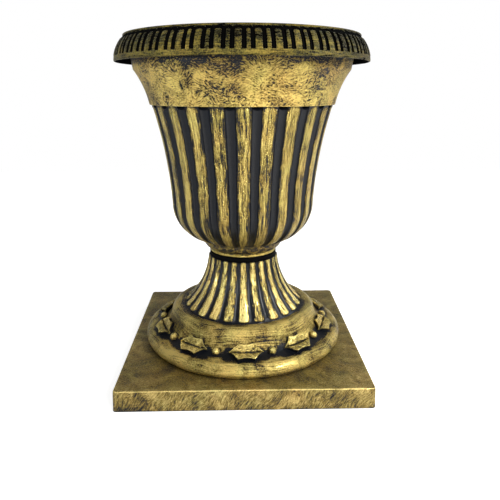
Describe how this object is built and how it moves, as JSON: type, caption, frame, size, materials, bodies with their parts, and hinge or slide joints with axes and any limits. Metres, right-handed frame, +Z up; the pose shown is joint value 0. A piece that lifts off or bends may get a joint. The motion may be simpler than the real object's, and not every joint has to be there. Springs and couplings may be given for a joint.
{
  "type": "urn planter",
  "caption": "Classical urn planter: a fluted bowl with a ribbed turned-down rim, twist-locked onto a reeded pedestal with a leaf-and-berry band and a square plinth.",
  "frame": {"origin": "on the ground under the middle of the plinth", "axes": "+Z up along the urn's axis, the front towards -Y, the plinth's sides along X and Y"},
  "size_m": [0.305, 0.3049, 0.4101],
  "materials": {
    "gilded_plastic": "charcoal moulding with gold dry-brushed over the raised parts",
    "plug_rubber": "matt black",
    "pad_rubber": "matt dark grey"
  },
  "bodies": {
    "pedestal": {"pedestal": "gilded_plastic", "foot_pad_1": "pad_rubber", "foot_pad_2": "pad_rubber", "foot_pad_3": "pad_rubber", "foot_pad_4": "pad_rubber"},
    "bowl": {"bowl": "gilded_plastic"},
    "drain_plug_1": {"drain_plug_1": "plug_rubber"},
    "drain_plug_2": {"drain_plug_2": "plug_rubber"},
    "drain_plug_3": {"drain_plug_3": "plug_rubber"},
    "drain_plug_4": {"drain_plug_4": "plug_rubber"}
  },
  "joints": [
    {"name": "bowl_twist", "type": "hinge", "parent": "pedestal", "child": "bowl", "pos_m": [0, 0, 0.1448], "axis": [0, 0, 1], "range_deg": [0, 45]},
    {"name": "drain_plug_1_pull", "type": "slide", "parent": "bowl", "child": "drain_plug_1", "axis": [0, 0, 1], "range_m": [0, 0.03]},
    {"name": "drain_plug_2_pull", "type": "slide", "parent": "bowl", "child": "drain_plug_2", "axis": [0, 0, 1], "range_m": [0, 0.03]},
    {"name": "drain_plug_3_pull", "type": "slide", "parent": "bowl", "child": "drain_plug_3", "axis": [0, 0, 1], "range_m": [0, 0.03]},
    {"name": "drain_plug_4_pull", "type": "slide", "parent": "bowl", "child": "drain_plug_4", "axis": [0, 0, 1], "range_m": [0, 0.03]}
  ]
}
